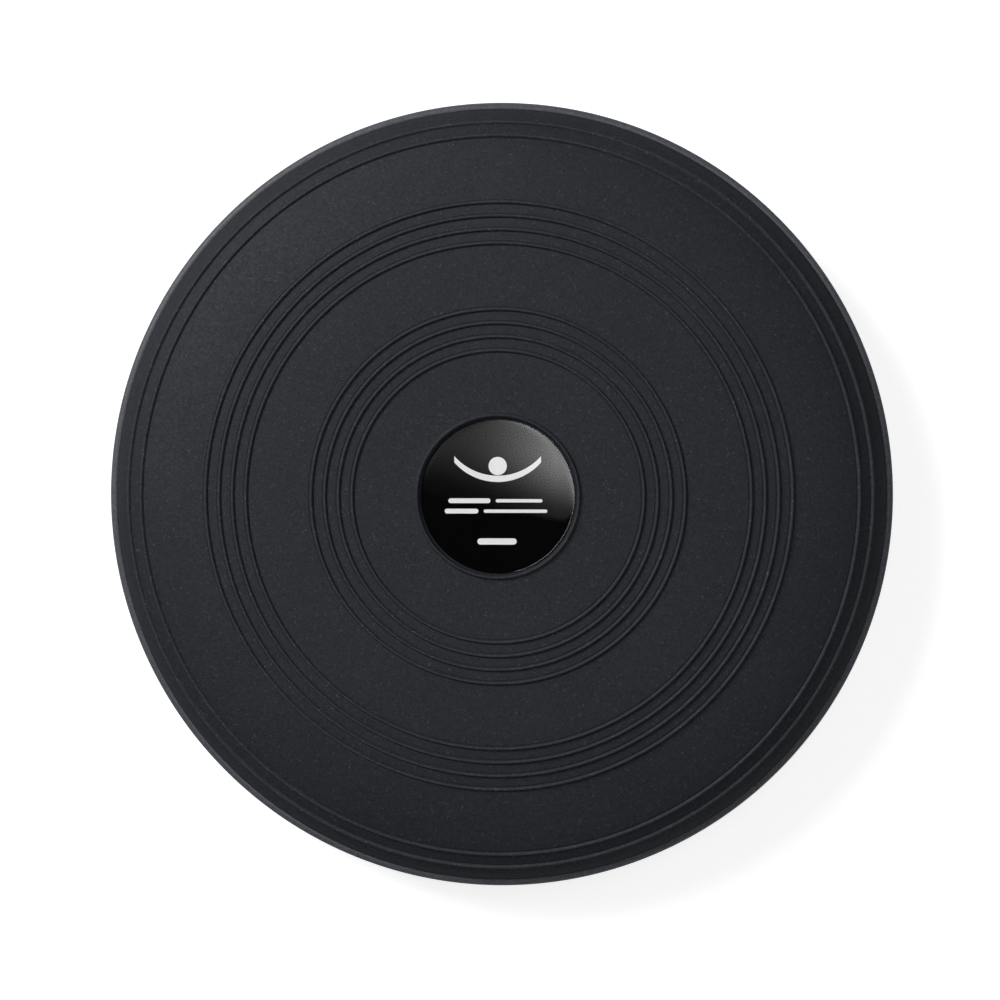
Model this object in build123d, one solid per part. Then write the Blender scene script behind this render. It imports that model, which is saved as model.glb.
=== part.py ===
from build123d import *
import os
from math import asin, atan2, cos, pi, sin

# Inflatable balance pad, lying flat on the floor: +Z is the disc's axis, the ribbed face is up,
# the massage nubs are down, and the origin is on the floor under the centre. Millimetres.

# Driving dimensions
SKIN_RADIUS = 162.5  # the blown-up skin at its equator
SKIN_HALF_HEIGHT = 26.0  # from the equator to the skin's pole
ROUNDNESS = 3.5  # exponent of the rounded section: 2 is an ellipse, more is squarer
SKIN_THICKNESS = 4.0
NUB_HEIGHT = 4.5
SPLIT_RADIUS = 147.0  # where the treading face ends and the bending shoulder starts
SPLIT_GAP = 0.3
CROWN_SHARE = 0.46  # of the radius: the crown is one shallow arc about the axis
SIDE_STEPS = 10  # an even number: points of the rounded side, two for each arc

# Rim bead along the parting line
BEAD_RADIUS = 2.0
BEAD_CENTRE = SKIN_RADIUS + 0.5

# Ribs on the treading face: the first rib of each group, and how many
RIB_GROUPS = ((60.6, 4), (105.1, 4), (150.2, 2))
RIB_PITCH = 5.7
RIB_SECTION = 0.85  # radius of a rib's round back
RIB_SUNK = 0.1

# Badge in the middle of the treading face
BADGE_RADIUS = 32.0
RECESS_RADIUS = 32.6
RECESS_DEPTH = 1.0
RING_RADIUS = RECESS_RADIUS + 1.15
RING_SECTION = 0.95
ADHESIVE_THICKNESS = 0.2
FILM_THICKNESS = 0.2
INK_THICKNESS = 0.1
DOME_EDGE = 0.5
DOME_HEIGHT = 1.6
DOME_BEND = 0.8  # of the radius: where the dome starts to turn down
DOME_BEND_RISE = 0.6  # of the rise from edge to top, at the bend
DOME_EDGE_TANGENT = (-1, 0.6)  # how steeply the dome leaves its edge

# The sign printed in the badge: a ball on a bowl-shaped board, over plain bars
BALL_RADIUS = 3.8
BALL_CENTRE = 12.6
BOARD_CURVE = 24.0
BOARD_THICKNESS = 2.6
BOARD_WIDTH = 36.0
BOARD_GAP = 0.2  # between ball and board
BARS = (  # left end, right end, height of the middle, thickness
    (-20.5, -3.0, -1.8, 2.0),
    (-0.8, 18.6, -1.8, 1.4),
    (-22.0, -8.0, -6.1, 2.0),
    (-5.8, 20.6, -6.1, 1.4),
    (-8.4, 7.9, -18.7, 2.6),
)

# Massage nubs: ring k has six more nubs than ring k - 1
NUB_RINGS = 8
NUB_PITCH = 14.0
NUB_BASE_RADIUS = 3.5
NUB_TIP_RADIUS = 1.3
NUB_ROOT = 1.0  # how far a nub's foot reaches into the skin
FLAT_RINGS = 3  # the rings on the flat middle
STANDING_RINGS = 4  # the rings whose tips rest on the floor

# Valve in the lower shoulder, on the -Y side
VALVE_RADIUS = 154.0
BORE_RADIUS = 3.5
PLUG_CLEARANCE = 0.05
NECK_RADIUS = 5.5
COLLAR_RADIUS = 7.5
COLLAR_HEIGHT = 0.8
FLANGE_THICKNESS = 1.5
CHECK_LENGTH = 6.0
CHECK_RADIUS = 4.8
CHECK_WALL = 1.0
CHECK_TIP = 1.4
CHECK_SLIT = 0.2
PLUG_HEAD_RADIUS = 6.0
PLUG_HEAD_HEIGHT = 1.6
PLUG_SHANK = 5.0
PLUG_GRIP_SLOT = 1.2
PLUG_LEAD_IN = 0.5

# Worked out from the above
EQUATOR = NUB_HEIGHT + SKIN_HALF_HEIGHT
POLE = EQUATOR + SKIN_HALF_HEIGHT


def skin_height(r, radius=SKIN_RADIUS, height=SKIN_HALF_HEIGHT):
    """Height of a rounded section above the equator at a radius."""
    return height * (1 - (r / radius) ** ROUNDNESS) ** 0.5


def rounded_side(radius, height, side, start):
    """Arcs through the points of a rounded section, from a radius out to the equator."""
    first = asin((start / radius) ** (ROUNDNESS / 2))
    turns = [first + (pi / 2 - first) * i / SIDE_STEPS for i in range(SIDE_STEPS + 1)]
    points = [
        (radius * sin(turn) ** (2 / ROUNDNESS), EQUATOR + side * height * cos(turn))
        for turn in turns
    ]
    return [ThreePointArc(*points[i : i + 3]) for i in range(0, SIDE_STEPS, 2)]


def closed_section(outline):
    """The area between an outline that starts on the axis, the equator and the axis."""
    start = outline[0] @ 0
    end = outline[-1] @ 1
    axis_side = Line((0, EQUATOR), start)
    equator_side = Line(end, (0, EQUATOR))
    return make_face(Curve() + [axis_side, *outline, equator_side])


def quarter_section(radius, height, side):
    """The area inside a rounded section, above (side 1) or below (side -1) the equator."""
    sides = rounded_side(radius, height, side, radius * CROWN_SHARE)
    crown = TangentArc((0, EQUATOR + side * height), sides[0] @ 0, tangent=(1, 0))
    return closed_section([crown, *sides])


def nubbed_section():
    """The area inside the lower skin: flat in the middle, then a cone for each ring of nubs."""
    radii = [NUB_PITCH * (ring + 0.5) for ring in range(FLAT_RINGS, NUB_RINGS + 1)]
    points = [(r, EQUATOR - skin_height(r)) for r in radii]
    floor = Line((0, points[0][1]), points[0])
    cones = [Line(points[i], points[i + 1]) for i in range(len(points) - 1)]
    sides = rounded_side(SKIN_RADIUS, SKIN_HALF_HEIGHT, -1, radii[-1])
    return closed_section([floor, *cones, *sides])


def hollow_section(side):
    """The area of the pad's air space, above or below the equator."""
    return quarter_section(SKIN_RADIUS - SKIN_THICKNESS, SKIN_HALF_HEIGHT - SKIN_THICKNESS, side)


def strip(r0, r1, z0=0.0, z1=2 * POLE):
    """A rectangle of the section plane between two radii and two heights."""
    return Pos((r0 + r1) / 2, (z0 + z1) / 2) * Rectangle(r1 - r0, z1 - z0)


def turned(section):
    """The solid that a section in the X-Z plane makes round the disc's axis."""
    return revolve(Plane.XZ * section, Axis.Z)


def rib_sections(group):
    """The round sections of one group of ribs."""
    first, count = group
    radii = [first + RIB_PITCH * i for i in range(count)]
    return [Pos(r, EQUATOR + skin_height(r) - RIB_SUNK) * Circle(RIB_SECTION) for r in radii]


def upper_section():
    """The upper half of the skin in section, without its ribs."""
    return quarter_section(SKIN_RADIUS, SKIN_HALF_HEIGHT, 1) - hollow_section(1)


def lower_section():
    """The lower half of the skin in section, without its nubs."""
    return nubbed_section() - hollow_section(-1)


def make_ribbed_face():
    section = upper_section() & strip(0, SPLIT_RADIUS - SPLIT_GAP / 2)
    for group in RIB_GROUPS[:2]:
        section = section + rib_sections(group)
    section = section + Pos(RING_RADIUS, POLE - RIB_SUNK) * Circle(RING_SECTION)
    section = section - strip(0, RECESS_RADIUS, POLE - RECESS_DEPTH)
    return turned(section)


def make_upper_shoulder():
    section = upper_section() & strip(SPLIT_RADIUS + SPLIT_GAP / 2, 2 * SKIN_RADIUS)
    section = section + rib_sections(RIB_GROUPS[2])
    return turned(section)


def make_rim_bead():
    section = Pos(BEAD_CENTRE, EQUATOR) * Circle(BEAD_RADIUS)
    section = section - quarter_section(SKIN_RADIUS, SKIN_HALF_HEIGHT, 1)
    section = section - nubbed_section()
    return turned(section)


def make_nub(r, turn, stands):
    """One cone-shaped nub, from its flat tip up into the skin."""
    skin = EQUATOR - skin_height(r)
    tip = 0.0 if stands else skin - NUB_HEIGHT
    cone = Cone(
        NUB_TIP_RADIUS,
        NUB_BASE_RADIUS,
        skin - tip + NUB_ROOT,
        align=(Align.CENTER, Align.CENTER, Align.MIN),
    )
    return Pos(r * cos(turn), r * sin(turn), tip) * cone


def nub_ring(ring):
    """The nubs of one ring. Odd rings are turned by half a step."""
    count = max(1, 6 * ring)
    turns = [2 * pi * (i + 0.5 * (ring % 2)) / count for i in range(count)]
    return [make_nub(NUB_PITCH * ring, turn, ring <= STANDING_RINGS) for turn in turns]


def valve_plane():
    """On the skin at the valve, with its normal out of the pad and its X along the rim."""
    slope_out = ROUNDNESS / SKIN_RADIUS * (VALVE_RADIUS / SKIN_RADIUS) ** (ROUNDNESS - 1)
    slope_down = 2 * skin_height(VALVE_RADIUS) / SKIN_HALF_HEIGHT**2
    drop = atan2(slope_down, slope_out)
    place = (0, -VALVE_RADIUS, EQUATOR - skin_height(VALVE_RADIUS))
    return Plane(origin=place, x_dir=(1, 0, 0), z_dir=(0, -cos(drop), -sin(drop)))


def round_bar(radius, z0, z1):
    """A cylinder along local Z between two heights."""
    return Pos(0, 0, (z0 + z1) / 2) * Cylinder(radius, z1 - z0)


def make_lower_skin():
    hole = round_bar(NECK_RADIUS, -3 * SKIN_THICKNESS, 3 * SKIN_THICKNESS)
    skin = turned(lower_section()) - valve_plane() * hole
    nubs = [nub for ring in range(NUB_RINGS + 1) for nub in nub_ring(ring)]
    return skin + nubs


def make_valve_seat():
    """A grommet: collar outside, neck through the skin, flange inside, bore for the plug."""
    seat = round_bar(NECK_RADIUS, -SKIN_THICKNESS - FLANGE_THICKNESS, COLLAR_HEIGHT)
    dish = round_bar(COLLAR_RADIUS, -SKIN_THICKNESS - FLANGE_THICKNESS, COLLAR_HEIGHT)
    collar = valve_plane() * dish - turned(lower_section())
    bore = round_bar(BORE_RADIUS, -3 * SKIN_THICKNESS, 3 * SKIN_THICKNESS)
    seat = valve_plane() * seat + collar
    return seat - valve_plane() * bore


def wedge(half_base, half_tip, length, width):
    """A bar that narrows along -Z from its base at z = 0 to its tip."""
    outline = Polyline(
        (-half_base, 0), (half_base, 0), (half_tip, -length), (-half_tip, -length), close=True
    )
    return extrude(Plane.YZ * make_face(outline), amount=width / 2, both=True)


def make_valve_check():
    """A duckbill: round at the seat, pinched to a slit at its inner end."""
    outside = round_bar(CHECK_RADIUS, -CHECK_LENGTH, 0)
    outside = outside & wedge(CHECK_RADIUS, CHECK_TIP / 2, CHECK_LENGTH, 2 * CHECK_RADIUS)
    room = CHECK_RADIUS - CHECK_WALL
    inside = round_bar(room, -CHECK_LENGTH, 0)
    inside = inside & wedge(room, CHECK_SLIT / 2, CHECK_LENGTH, 2 * room)
    depth = -SKIN_THICKNESS - FLANGE_THICKNESS
    return valve_plane() * (Pos(0, 0, depth) * (outside - inside))


def make_valve_plug():
    head = round_bar(PLUG_HEAD_RADIUS, COLLAR_HEIGHT, COLLAR_HEIGHT + PLUG_HEAD_HEIGHT)
    top_edge = head.edges().group_by(Axis.Z)[-1]
    head = fillet(top_edge, PLUG_HEAD_HEIGHT / 2)
    shank = round_bar(BORE_RADIUS - PLUG_CLEARANCE, COLLAR_HEIGHT - PLUG_SHANK, COLLAR_HEIGHT)
    lead_in = shank.edges().group_by(Axis.Z)[0]
    shank = chamfer(lead_in, PLUG_LEAD_IN)
    slot_top = COLLAR_HEIGHT + PLUG_HEAD_HEIGHT
    slot = Pos(0, 0, slot_top) * Box(PLUG_HEAD_RADIUS, PLUG_GRIP_SLOT, PLUG_HEAD_HEIGHT)
    return valve_plane() * (head + shank - slot)


def badge_marks():
    """The printed sign in the badge: a ball balanced in a bowl-shaped board, over plain bars."""
    ball = Pos(0, BALL_CENTRE) * Circle(BALL_RADIUS)
    board_top = BALL_CENTRE - BALL_RADIUS - BOARD_GAP
    board = Pos(0, board_top + BOARD_CURVE - BOARD_THICKNESS) * Circle(BOARD_CURVE)
    board = board - Pos(0, board_top + BOARD_CURVE) * Circle(BOARD_CURVE)
    board = board & Pos(0, board_top) * Rectangle(BOARD_WIDTH, BOARD_CURVE)
    bars = [
        Pos((left + right) / 2, middle) * SlotOverall(right - left, thickness)
        for left, right, middle, thickness in BARS
    ]
    return Sketch() + [ball, board] + bars


def make_badge():
    """The badge's four layers, from the skin's recess up."""
    glue_at = POLE - RECESS_DEPTH
    film_at = glue_at + ADHESIVE_THICKNESS
    film_top = film_at + FILM_THICKNESS
    adhesive = round_bar(BADGE_RADIUS, glue_at, film_at)
    ink = Pos(0, 0, film_top - INK_THICKNESS) * extrude(badge_marks(), INK_THICKNESS)
    film = round_bar(BADGE_RADIUS, film_at, film_top) - ink
    crown = Spline(
        (BADGE_RADIUS, film_top + DOME_EDGE),
        (BADGE_RADIUS * DOME_BEND, film_top + DOME_EDGE + (DOME_HEIGHT - DOME_EDGE) * DOME_BEND_RISE),
        (0, film_top + DOME_HEIGHT),
        tangents=(DOME_EDGE_TANGENT, (-1, 0)),
    )
    foot = Polyline(
        (0, film_top + DOME_HEIGHT),
        (0, film_top),
        (BADGE_RADIUS, film_top),
        (BADGE_RADIUS, film_top + DOME_EDGE),
    )
    dome = turned(make_face(Curve() + [crown, foot]))
    return {
        "badge_adhesive": adhesive,
        "badge_film": film,
        "badge_mark": ink,
        "badge_dome": dome,
    }


def make_parts():
    parts = {
        "lower_skin": make_lower_skin(),
        "rim_bead": make_rim_bead(),
        "upper_shoulder": make_upper_shoulder(),
        "ribbed_face": make_ribbed_face(),
        "valve_seat": make_valve_seat(),
        "valve_check": make_valve_check(),
        "valve_plug": make_valve_plug(),
    }
    parts.update(make_badge())
    return parts


os.makedirs("parts", exist_ok=True)
for name, part in make_parts().items():
    export_step(part, f"parts/{name}.step")

print("valve plug leaves along", valve_plane().z_dir)
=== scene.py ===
from math import asin, cos, pi, radians, sin

import bmesh
import bpy
from mathutils import Matrix, Vector


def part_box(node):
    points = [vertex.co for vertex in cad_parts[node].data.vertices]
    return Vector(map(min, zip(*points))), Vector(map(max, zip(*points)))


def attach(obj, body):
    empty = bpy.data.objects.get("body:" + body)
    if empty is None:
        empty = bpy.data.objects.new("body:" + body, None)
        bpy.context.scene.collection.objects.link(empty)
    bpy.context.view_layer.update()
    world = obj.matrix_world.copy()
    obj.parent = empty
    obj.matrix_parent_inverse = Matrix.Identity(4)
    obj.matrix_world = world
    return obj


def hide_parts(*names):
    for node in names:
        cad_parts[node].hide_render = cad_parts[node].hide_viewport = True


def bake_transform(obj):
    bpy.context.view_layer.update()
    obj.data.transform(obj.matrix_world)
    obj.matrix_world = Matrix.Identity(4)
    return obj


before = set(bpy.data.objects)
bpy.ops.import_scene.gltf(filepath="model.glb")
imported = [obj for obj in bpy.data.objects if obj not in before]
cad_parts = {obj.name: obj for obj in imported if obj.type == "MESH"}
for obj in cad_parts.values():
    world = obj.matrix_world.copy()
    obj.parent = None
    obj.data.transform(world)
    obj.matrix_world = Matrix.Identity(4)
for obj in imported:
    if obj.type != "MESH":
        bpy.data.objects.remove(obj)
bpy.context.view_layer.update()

# Shapes are worked out in millimetres, as the part's design gives them, and made in metres.
MM = 0.001
low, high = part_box("lower_skin")
EQUATOR = high.z / MM
SKIN_RADIUS = high.x / MM
NUB_HEIGHT = 4.5
HALF_HEIGHT = EQUATOR - NUB_HEIGHT
POLE = EQUATOR + HALF_HEIGHT
ROUNDNESS = 3.5
THICKNESS = 4.0

RIB_FIRSTS = ((60.6, 4), (105.1, 4), (150.2, 2))
RIB_PITCH = 5.7
RIB_HALF_WIDTH = 0.75
RIB_RISE = 1.15
RIB_FOOT = 0.35
RIB_DIP = 0.3
RIB_START = 0.1
# Share of the painted highlight laid on each rib's crest as a lighter colour.
RIB_CREST_HIGHLIGHT = 0.5

BADGE_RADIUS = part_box("badge_dome")[1].x / MM
DOME_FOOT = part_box("badge_dome")[0].z / MM
DOME_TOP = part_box("badge_dome")[1].z / MM
RECESS_RADIUS = BADGE_RADIUS + 0.6
RECESS_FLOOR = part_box("badge_adhesive")[0].z / MM
RING_RADIUS = RECESS_RADIUS + 1.15
RING_HALF_WIDTH = 0.8
RING_RISE = 1.25
# Share of the painted highlight laid on the ring's crest as a lighter colour.
RING_CREST_HIGHLIGHT = 0.25

BEAD_RADIUS = 2.0
BEAD_CENTRE = SKIN_RADIUS + 0.5

NUB_RINGS = 8
NUB_PITCH = 14.0
STANDING_RINGS = 4
ROUND_STEPS = 384


# ---------------------------------------------------------------- shapes


def skin_height(r, radius=SKIN_RADIUS, height=HALF_HEIGHT):
    """Height of the rounded skin above its equator at a radius."""
    return height * max(0.0, 1 - (r / radius) ** ROUNDNESS) ** 0.5


def skin_slope(r):
    """How fast the skin falls away at a radius."""
    share = (r / SKIN_RADIUS) ** ROUNDNESS
    return HALF_HEIGHT * ROUNDNESS * share / (2 * r * (1 - share) ** 0.5)


def skin_run(r0, r1, side, step, radius=SKIN_RADIUS, height=HALF_HEIGHT):
    """Points of the skin between two radii, evenly spread along its turn and its radius."""
    count = max(2, round(abs(r1 - r0) / step))
    first = asin((r0 / radius) ** (ROUNDNESS / 2))
    last = asin(min(1.0, (r1 / radius) ** (ROUNDNESS / 2)))
    points = []
    for i in range(count + 1):
        share = i / count
        by_turn = radius * sin(first + (last - first) * share) ** (2 / ROUNDNESS)
        by_radius = r0 + (r1 - r0) * share
        steep = (by_radius / radius) ** 6
        r = by_radius * (1 - steep) + by_turn * steep
        points.append((r, EQUATOR + side * skin_height(r, radius, height)))
    return points


def rib(r, steps=10):
    """A rib across the skin: round back, steep flanks and a small foot on each side."""
    slope = skin_slope(r)
    length = (1 + slope * slope) ** 0.5
    along = (1 / length, -slope / length)
    out = (slope / length, 1 / length)
    centre = (r, EQUATOR + skin_height(r))
    reach = RIB_HALF_WIDTH + RIB_FOOT
    points = [(-reach, 0.0), (-reach + 0.15, -RIB_DIP)]
    for i in range(steps + 1):
        turn = RIB_START + (pi - 2 * RIB_START) * i / steps
        points.append((-RIB_HALF_WIDTH * cos(turn), RIB_RISE * sin(turn) ** 0.8 - RIB_DIP * cos(turn) ** 6))
    points += [(reach - 0.15, -RIB_DIP), (reach, 0.0)]
    return [
        (centre[0] + a * along[0] + b * out[0], centre[1] + a * along[1] + b * out[1])
        for a, b in points
    ]


def rib_radii():
    return [first + RIB_PITCH * i for first, count in RIB_FIRSTS for i in range(count)]


def top_profile():
    """The upper skin in section: recess, ring, ribs, shoulder, then back along the inside."""
    profile = [(0.0, RECESS_FLOOR), (RECESS_RADIUS - 0.25, RECESS_FLOOR)]
    profile += [(RECESS_RADIUS - 0.05, RECESS_FLOOR + 0.06), (RECESS_RADIUS, RECESS_FLOOR + 0.3)]
    for i in range(13):
        turn = pi * i / 12
        lift = RING_RISE * sin(turn) ** 0.9
        profile.append((RING_RADIUS - RING_HALF_WIDTH * cos(turn), POLE + lift))
    at = RING_RADIUS + RING_HALF_WIDTH + RIB_FOOT
    for r in rib_radii():
        foot = rib(r)
        profile += skin_run(at, foot[0][0] - 0.2, 1, 3.0)
        profile += foot
        at = foot[-1][0] + 0.2
    profile += skin_run(at, SKIN_RADIUS, 1, 0.45)
    inner = skin_run(1.0, SKIN_RADIUS - THICKNESS, 1, 6.0, SKIN_RADIUS - THICKNESS, HALF_HEIGHT - THICKNESS)
    profile += inner[::-1]
    profile.append((0.0, POLE - THICKNESS))
    return profile


def face_out(mesh):
    """Turns every face of a closed mesh to face out, and shades it smooth."""
    work = bmesh.new()
    work.from_mesh(mesh)
    bmesh.ops.recalc_face_normals(work, faces=work.faces)
    work.to_mesh(mesh)
    work.free()
    mesh.shade_smooth()


def lathe(name, profile, steps=ROUND_STEPS, closed=False):
    """A mesh turned round the Z axis from (radius, height) points in millimetres."""
    rings, verts, faces = [], [], []
    for r, z in profile:
        if r < 1e-6:
            rings.append([len(verts)] * steps)
            verts.append((0.0, 0.0, z * MM))
            continue
        rings.append(range(len(verts), len(verts) + steps))
        for i in range(steps):
            turn = 2 * pi * i / steps
            verts.append((r * cos(turn) * MM, r * sin(turn) * MM, z * MM))
    pairs = list(zip(rings, rings[1:]))
    if closed:
        pairs.append((rings[-1], rings[0]))
    for a, b in pairs:
        for i in range(steps):
            j = (i + 1) % steps
            corners = [a[i], b[i], b[j], a[j]]
            corners = [c for k, c in enumerate(corners) if c not in corners[:k]]
            if len(corners) > 2:
                faces.append(corners)
    mesh = bpy.data.meshes.new(name)
    mesh.from_pydata(verts, [], faces)
    mesh.validate()
    face_out(mesh)
    piece = bpy.data.objects.new(name, mesh)
    bpy.context.scene.collection.objects.link(piece)
    return piece


def paint(piece, material):
    """Gives every slot of a piece one material."""
    piece.data.materials.clear()
    piece.data.materials.append(material)


def repaint(node, material):
    """Gives a CAD node a material without touching its mesh."""
    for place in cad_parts[node].material_slots:
        place.link = "OBJECT"
        place.material = material


# ---------------------------------------------------------------- materials


class Nodes:
    """A new material and short ways to add nodes to it."""

    def __init__(self, name):
        self.material = bpy.data.materials.new(name)
        self.material.use_nodes = True
        self.tree = self.material.node_tree
        self.shader = self.tree.nodes["Principled BSDF"]
        self.output = self.tree.nodes["Material Output"]
        self.places = self.add("ShaderNodeTexCoord").outputs["Object"]

    def add(self, kind, **values):
        node = self.tree.nodes.new(kind)
        for key, value in values.items():
            setattr(node, key, value)
        return node

    def link(self, source, target):
        self.tree.links.new(source, target)

    def set(self, **values):
        for key, value in values.items():
            self.shader.inputs[key.replace("_", " ")].default_value = value

    def noise(self, size, detail=2.0, roughness=0.5):
        """Noise whose features are about size millimetres."""
        node = self.add("ShaderNodeTexNoise")
        node.inputs["Scale"].default_value = 1 / (size * MM)
        node.inputs["Detail"].default_value = detail
        node.inputs["Roughness"].default_value = roughness
        self.link(self.places, node.inputs["Vector"])
        return node.outputs["Fac"]

    def spread(self, source, low_in, high_in, low_out, high_out, smooth=False):
        node = self.add("ShaderNodeMapRange")
        if smooth:
            node.interpolation_type = "SMOOTHSTEP"
        for key, value in zip((1, 2, 3, 4), (low_in, high_in, low_out, high_out)):
            node.inputs[key].default_value = value
        self.link(source, node.inputs[0])
        return node.outputs[0]

    def math(self, operation, a, b):
        node = self.add("ShaderNodeMath", operation=operation)
        for place, value in zip(node.inputs, (a, b)):
            if isinstance(value, (int, float)):
                place.default_value = value
            else:
                self.link(value, place)
        return node.outputs[0]

    def tint(self, colour, factor):
        """A colour made lighter or darker by a factor."""
        node = self.add("ShaderNodeVectorMath", operation="SCALE")
        node.inputs[0].default_value = colour
        self.link(factor, node.inputs["Scale"])
        return node.outputs[0]

    def bump(self, height, depth, below=None):
        """Bump of a height from 0 to 1, depth millimetres deep."""
        node = self.add("ShaderNodeBump")
        node.inputs["Distance"].default_value = depth * MM
        self.link(height, node.inputs["Height"])
        if below is not None:
            self.link(below, node.inputs["Normal"])
        return node.outputs["Normal"]

    def radius(self):
        """Distance from the disc's axis, in millimetres."""
        split = self.add("ShaderNodeSeparateXYZ")
        self.link(self.places, split.inputs[0])
        square = [self.math("MULTIPLY", split.outputs[i], split.outputs[i]) for i in (0, 1)]
        root = self.math("SQRT", self.math("ADD", *square), 0.0)
        return self.math("MULTIPLY", root, 1 / MM)


SKIN_COLOUR = (0.0168, 0.0187, 0.0236)
# The rim bead's vinyl: the skin's colour painted lighter, as painted light on the bead, with a glossier
# finish.
RIM_LIT_COLOUR = (0.066, 0.071, 0.083)
# Colour gain of the painted highlight on the rib and ring crests.
CREST_HIGHLIGHT_GAIN = 2.1


def skin_material(name, colour, sheen, rough_low, rough_high):
    """Matt soft vinyl: grained where it is trodden on, with light specks there painted in as glints;
    smoother at the rim; rib and ring crests painted lighter as a highlight.
    """
    n = Nodes(name)
    grained = n.spread(n.radius(), 156.5, 160.0, 1.0, 0.0, smooth=True)
    grain = n.noise(0.55, 3.0, 0.6)
    # Small light specks painted into the colour stand for glints; they are also a little rougher.
    cells = n.add("ShaderNodeTexVoronoi")
    cells.inputs["Scale"].default_value = 1 / (1.1 * MM)
    n.link(n.places, cells.inputs["Vector"])
    glint_specks = n.spread(cells.outputs["Distance"], 0.16, 0.34, 1.0, 0.0, smooth=True)
    chosen = n.spread(n.noise(2.2, 1.0), 0.55, 0.66, 0.0, 1.0, smooth=True)
    glint_specks = n.math("MULTIPLY", n.math("MULTIPLY", glint_specks, chosen), grained)
    cloud = n.spread(n.noise(38.0, 3.0), 0.3, 0.7, 0.94, 1.06)
    fine = n.spread(grain, 0.3, 0.7, 0.54, 1.46)
    mottle = n.spread(n.noise(1.6, 2.0), 0.3, 0.7, 0.84, 1.16)
    light = n.math("MULTIPLY", n.math("MULTIPLY", cloud, fine), mottle)
    # Adds the painted glints to the colour.
    light = n.math("ADD", light, n.math("MULTIPLY", glint_specks, 2.3))
    # Rib and ring crests are painted lighter: a painted highlight.
    painted_crest_highlight = n.add("ShaderNodeAttribute", attribute_name="painted_crest_highlight").outputs["Fac"]
    light = n.math("MULTIPLY", light, n.spread(painted_crest_highlight, 0.0, 1.0, 1.0, CREST_HIGHLIGHT_GAIN))
    n.link(n.tint(colour, light), n.shader.inputs["Base Color"])
    rough = n.spread(n.noise(1.4, 3.0), 0.3, 0.7, rough_low, rough_high)
    rough = n.math("ADD", rough, n.math("MULTIPLY", glint_specks, 0.1))
    n.link(rough, n.shader.inputs["Roughness"])
    sway = n.bump(n.noise(26.0, 1.0), 0.25)
    peel = n.bump(n.noise(3.2, 2.0), 0.035, sway)
    height = n.math("MULTIPLY", grain, n.spread(grained, 0.0, 1.0, 0.25, 1.0))
    n.link(n.bump(height, 0.12, peel), n.shader.inputs["Normal"])
    n.set(Specular_IOR_Level=sheen)
    return n.material


def moulded_material(name, colour, rough_low, rough_high, size):
    """Small moulded parts of rubber or plastic: even colour, faint tooling marks."""
    n = Nodes(name)
    light = n.spread(n.noise(size * 3, 3.0), 0.3, 0.7, 0.88, 1.12)
    n.link(n.tint(colour, light), n.shader.inputs["Base Color"])
    rough = n.spread(n.noise(size, 3.0), 0.3, 0.7, rough_low, rough_high)
    n.link(rough, n.shader.inputs["Roughness"])
    n.link(n.bump(n.noise(size, 2.0), 0.02), n.shader.inputs["Normal"])
    return n.material


def print_material(name, colour, rough):
    """Ink or film under the dome, with the faint mottle of a screen print."""
    n = Nodes(name)
    light = n.spread(n.noise(0.5, 2.0), 0.3, 0.7, 0.95, 1.05)
    n.link(n.tint(colour, light), n.shader.inputs["Base Color"])
    n.link(n.spread(n.noise(0.9, 2.0), 0.3, 0.7, rough - 0.05, rough + 0.05), n.shader.inputs["Roughness"])
    n.set(Specular_IOR_Level=0.03)
    return n.material


DOME_GLOSS = 0.082


def dome_material():
    """Clear cast resin: what is under it shows straight through, with a glossy skin on top.

    The share that is reflected follows Schlick's rule, and is the same from above and from below,
    so the lamps also reach the print.
    """
    n = Nodes("clear_resin")
    n.tree.nodes.remove(n.shader)
    clear = n.add("ShaderNodeBsdfTransparent")
    gloss = n.add("ShaderNodeBsdfGlossy")
    rough = n.spread(n.noise(6.0, 2.0), 0.3, 0.7, 0.018, 0.03)
    n.link(rough, gloss.inputs["Roughness"])
    glance = n.math("POWER", n.add("ShaderNodeLayerWeight").outputs["Facing"], 5.0)
    mix = n.add("ShaderNodeMixShader")
    n.link(n.spread(glance, 0.0, 1.0, DOME_GLOSS, 1.0), mix.inputs[0])
    n.link(clear.outputs[0], mix.inputs[1])
    n.link(gloss.outputs[0], mix.inputs[2])
    n.link(mix.outputs[0], n.output.inputs["Surface"])
    return n.material


def bonded_material():
    """The dome's underside, which is bonded to the film and so reflects nothing."""
    n = Nodes("bonded_resin")
    n.tree.nodes.remove(n.shader)
    clear = n.add("ShaderNodeBsdfTransparent")
    n.link(clear.outputs[0], n.output.inputs["Surface"])
    return n.material


# ---------------------------------------------------------------- pieces


def make_skin_top(material):
    piece = lathe("skin_top", top_profile())
    paint(piece, material)
    # Marks the rib and ring crests for the painted highlight in the vinyl's colour.
    highlight_crests = [(r, RIB_HALF_WIDTH, RIB_CREST_HIGHLIGHT) for r in rib_radii()]
    highlight_crests.append((RING_RADIUS, RING_HALF_WIDTH, RING_CREST_HIGHLIGHT))
    painted_crest_highlight = piece.data.attributes.new("painted_crest_highlight", "FLOAT", "POINT")
    for v in piece.data.vertices:
        r = (v.co.x**2 + v.co.y**2) ** 0.5 / MM
        highlight_shares = [share for at, half, share in highlight_crests if abs(r - at) < 0.95 * half]
        painted_crest_highlight.data[v.index].value = max(highlight_shares, default=0.0)
    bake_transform(piece)
    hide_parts("ribbed_face", "upper_shoulder")
    return piece


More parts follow.
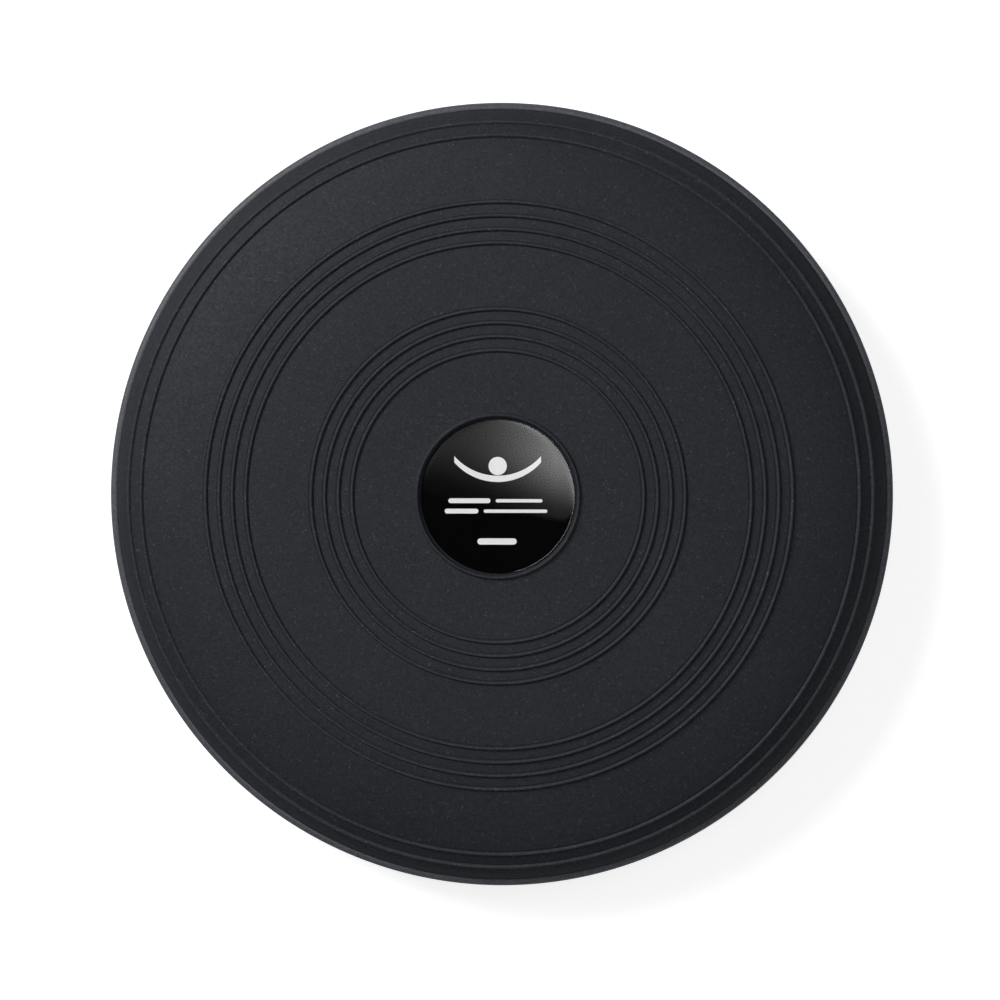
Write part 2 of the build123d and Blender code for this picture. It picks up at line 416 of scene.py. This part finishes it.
def bottom_profile():
    outer = [(0.0, EQUATOR - HALF_HEIGHT)]
    outer += skin_run(3.0, 120.0, -1, 6.0)
    outer += skin_run(121.0, SKIN_RADIUS, -1, 0.9)
    inner = skin_run(1.0, SKIN_RADIUS - THICKNESS, -1, 6.0, SKIN_RADIUS - THICKNESS, HALF_HEIGHT - THICKNESS)
    return outer + inner[::-1] + [(0.0, EQUATOR - HALF_HEIGHT + THICKNESS)]


def nub_profile(height):
    """A nub hanging from the skin: flared foot, straight flank, rounded tip."""
    flank = [(4.4, -0.35), (3.75, 0.15), (3.3, 0.7), (3.0, 1.3)]
    tip = [(1.75, height - 0.55), (1.5, height - 0.2), (1.1, height - 0.03), (0.0, height)]
    return [(0.0, -0.6), (4.4, -0.6)] + flank + tip


def make_skin_bottom(material):
    piece = lathe("skin_bottom", bottom_profile())
    verts = [tuple(v.co) for v in piece.data.vertices]
    faces = [tuple(p.vertices) for p in piece.data.polygons]
    for ring in range(NUB_RINGS + 1):
        count = max(1, 6 * ring)
        r = NUB_PITCH * ring
        foot = EQUATOR - skin_height(r)
        height = foot if ring <= STANDING_RINGS else NUB_HEIGHT
        nub = lathe("nub", nub_profile(height), 20)
        lean = Matrix.Diagonal((1, 1, -1, 1))
        for i in range(count):
            turn = 2 * pi * (i + 0.5 * (ring % 2)) / count
            place = Matrix.Translation((r * cos(turn) * MM, r * sin(turn) * MM, foot * MM)) @ lean
            start = len(verts)
            verts += [tuple(place @ v.co) for v in nub.data.vertices]
            faces += [tuple(start + c for c in reversed(p.vertices)) for p in nub.data.polygons]
        bpy.data.objects.remove(nub)
    mesh = bpy.data.meshes.new("skin_bottom")
    mesh.from_pydata(verts, [], faces)
    face_out(mesh)
    piece.data = mesh
    paint(piece, material)
    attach(piece, "base")
    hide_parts("lower_skin")
    return piece


def make_rim(material):
    """The bead along the parting line, a little flattened, with a fine flash line round it."""
    profile = []
    for i in range(40):
        turn = 2 * pi * i / 40
        flash = 0.16 * max(0.0, cos(turn)) ** 40
        r = BEAD_CENTRE - 0.16 + (BEAD_RADIUS + flash) * cos(turn)
        profile.append((r, EQUATOR + BEAD_RADIUS * 0.96 * sin(turn)))
    piece = lathe("rim_seam", profile, closed=True)
    # The bead's material is a lighter copy of the skin's vinyl: painted light.
    paint(piece, material)
    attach(piece, "base")
    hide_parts("rim_bead")
    return piece


def make_dome():
    """The badge's clear dome: poured resin stands steep at its edge and almost flat in the middle."""
    edge = 0.35
    rise = DOME_TOP - DOME_FOOT - edge
    profile = [(0.0, DOME_TOP)]
    for i in range(1, 60):
        share = sin(pi / 2 * i / 60)
        crown = 0.88 * (1 - share**2) + 0.12 * (1 - share**40)
        profile.append((BADGE_RADIUS * share, DOME_FOOT + edge + rise * crown))
    profile += [(BADGE_RADIUS, DOME_FOOT + edge), (BADGE_RADIUS, DOME_FOOT + 0.02), (0.0, DOME_FOOT + 0.02)]
    piece = lathe("dome", profile, 256)
    paint(piece, dome_material())
    piece.data.materials.append(bonded_material())
    for face in piece.data.polygons:
        heights = [piece.data.vertices[v].co.z / MM - DOME_FOOT for v in face.vertices]
        if min(heights) < 0.03:
            face.use_smooth = False
        if max(heights) < 0.03:
            face.material_index = 1
    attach(piece, "face")
    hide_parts("badge_dome")
    return piece


def finish_nodes():
    """Materials for the CAD nodes that stay as they are."""
    rubber = moulded_material("valve_rubber", (0.018, 0.018, 0.02), 0.42, 0.58, 0.8)
    plastic = moulded_material("plug_plastic", (0.02, 0.02, 0.022), 0.22, 0.34, 1.5)
    repaint("valve_seat", rubber)
    repaint("valve_check", rubber)
    repaint("valve_plug", plastic)
    repaint("badge_adhesive", moulded_material("glue", (0.35, 0.35, 0.33), 0.3, 0.4, 1.0))
    repaint("badge_film", print_material("black_film", (0.0007, 0.0007, 0.0011), 0.4))
    repaint("badge_mark", print_material("white_ink", (0.95, 0.95, 0.95), 0.5))


# ---------------------------------------------------------------- studio

BADGE_PLACE = Vector((0, 0, DOME_TOP * MM))
CAMERA_TILT = radians(2.8)
CAMERA_TURN = radians(30)
LENS = 135.0
SENSOR = 36.0
HALF_VIEW = 0.2108
AIM = Vector((-0.0001, -0.0021, EQUATOR * MM))

# Azimuth and elevation in degrees, distance and side in metres, power in watts.
LIGHTS = {
    "key": (142, 40, 2.2, 1.0, 49.0),
    "fill": (-25, 42, 2.4, 1.2, 7.0),
    "low": (-80, 14, 2.4, 0.8, 4.0),
    "glint": (-38, 67, 2.2, 1.6, 1.8),
}
GLINT_WIDTH = 0.15
AMBIENT = 0.025
FLOOR_SIZE = 60.0
FLOOR_COLOUR = (0.6, 0.6, 0.605)
FLOOR_GLOW = 0.75
CARD_HEIGHT = 3.0
CARD_SIZE = 3.0
CARD_EDGE = -0.19
CARD_SOFT = 0.06
CARD_RISE = 0.46
CARD_SLANT = 0.187
CARD_LEFT, CARD_RIGHT = -0.65, 0.25
CARD_REACH = 1.45
CARD_DIM, CARD_BRIGHT = 0.3, 2.5


def make_camera():
    data = bpy.data.cameras.new("camera")
    data.lens, data.sensor_width = LENS, SENSOR
    away = HALF_VIEW / (SENSOR / 2 / LENS)
    aside = sin(CAMERA_TILT)
    back = Vector((aside * cos(CAMERA_TURN), aside * sin(CAMERA_TURN), cos(CAMERA_TILT)))
    camera = bpy.data.objects.new("camera", data)
    bpy.context.scene.collection.objects.link(camera)
    right = Vector((0, 1, 0)).cross(back).normalized()
    up = back.cross(right)
    turn = Matrix((right, up, back)).transposed().to_4x4()
    camera.matrix_world = Matrix.Translation(AIM + back * away) @ turn
    data.clip_start, data.clip_end = 0.05, 60.0
    bpy.context.scene.camera = camera


def area_light(name, azimuth, elevation, distance, size, power):
    """A soft light that faces the pad. Azimuth is counted from +X towards +Y."""
    data = bpy.data.lights.new(name, "AREA")
    data.shape = "RECTANGLE"
    data.size, data.size_y, data.energy = size, size, power
    light = bpy.data.objects.new(name, data)
    a, e = radians(azimuth), radians(elevation)
    back = Vector((cos(a) * cos(e), sin(a) * cos(e), sin(e)))
    light.location = BADGE_PLACE + back * distance
    light.rotation_mode = "QUATERNION"
    light.rotation_quaternion = back.to_track_quat("Z", "Y")
    bpy.context.scene.collection.objects.link(light)
    return light


def plane(name, size, place):
    """A flat square of the studio, which isn't part of the object."""
    mesh = bpy.data.meshes.new(name)
    half = size / 2
    corners = [(-half, -half, 0), (half, -half, 0), (half, half, 0), (-half, half, 0)]
    mesh.from_pydata(corners, [], [(0, 1, 2, 3)])
    piece = bpy.data.objects.new(name, mesh)
    piece.location = place
    bpy.context.scene.collection.objects.link(piece)
    return piece


def make_floor():
    """A plain pale floor, evenly brightened for the camera only. Its shadow is the pad's real one."""
    n = Nodes("pale_floor")
    light = n.spread(n.noise(900.0, 2.0), 0.3, 0.7, 0.97, 1.0)
    n.link(n.tint(FLOOR_COLOUR, light), n.shader.inputs["Base Color"])
    path = n.add("ShaderNodeLightPath")
    glow = n.math("MULTIPLY", path.outputs["Is Camera Ray"], FLOOR_GLOW)
    n.link(glow, n.shader.inputs["Emission Strength"])
    n.set(Roughness=0.9, Specular_IOR_Level=0.1, Emission_Color=(1, 1, 1, 1))
    paint(plane("floor", FLOOR_SIZE, (0, 0, 0)), n.material)


def make_card():
    """A graded card high over the pad, which the badge reflects. Its near edge is soft."""
    n = Nodes("graded_card")
    n.tree.nodes.remove(n.shader)
    split = n.add("ShaderNodeSeparateXYZ")
    n.link(n.places, split.inputs[0])
    across, along = split.outputs[0], split.outputs[1]
    slant = n.math("ADD", along, n.math("MULTIPLY", across, CARD_SLANT))
    edge = n.spread(slant, CARD_EDGE, CARD_EDGE + CARD_SOFT, 0.0, 1.0, smooth=True)
    rise = n.spread(slant, CARD_EDGE + CARD_SOFT, CARD_EDGE + CARD_RISE, 0.08, 1.0, smooth=True)
    side = n.math("POWER", n.spread(across, CARD_LEFT, CARD_RIGHT, 0.0, 1.0), 3.0)
    side = n.math("ADD", n.math("MULTIPLY", side, CARD_BRIGHT), CARD_DIM)
    reach = n.spread(n.radius(), CARD_REACH / MM, (CARD_REACH - 0.3) / MM, 0.0, 1.0, smooth=True)
    glow = n.add("ShaderNodeEmission")
    shade = n.math("MULTIPLY", n.math("MULTIPLY", edge, side), n.math("MULTIPLY", rise, reach))
    n.link(shade, glow.inputs["Strength"])
    n.link(glow.outputs[0], n.output.inputs["Surface"])
    card = plane("card", CARD_SIZE, (0, 0, CARD_HEIGHT))
    paint(card, n.material)
    card.visible_camera = False


def make_studio():
    scene = bpy.context.scene
    scene.view_settings.view_transform = "Standard"
    world = bpy.data.worlds.new("studio")
    world.use_nodes = True
    glow = world.node_tree.nodes["Background"]
    path = world.node_tree.nodes.new("ShaderNodeLightPath")
    share = world.node_tree.nodes.new("ShaderNodeMapRange")
    share.inputs["To Min"].default_value = AMBIENT
    world.node_tree.links.new(path.outputs["Is Camera Ray"], share.inputs["Value"])
    world.node_tree.links.new(share.outputs[0], glow.inputs["Strength"])
    glow.inputs["Color"].default_value = (1, 1, 1, 1)
    scene.world = world
    lights = {name: area_light(name, *values) for name, values in LIGHTS.items()}
    lights["glint"].data.size_y = GLINT_WIDTH
    make_floor()
    make_card()


make_camera()
make_studio()
vinyl = skin_material("soft_vinyl", SKIN_COLOUR, 0.22, 0.60, 0.74)
# A lighter copy of the vinyl for the rim bead: painted light, and a glossier finish.
rim_lit_vinyl = skin_material("rim_lit_vinyl", RIM_LIT_COLOUR, 0.35, 0.46, 0.58)
make_skin_top(vinyl)
make_skin_bottom(vinyl)
make_rim(rim_lit_vinyl)
make_dome()
finish_nodes()
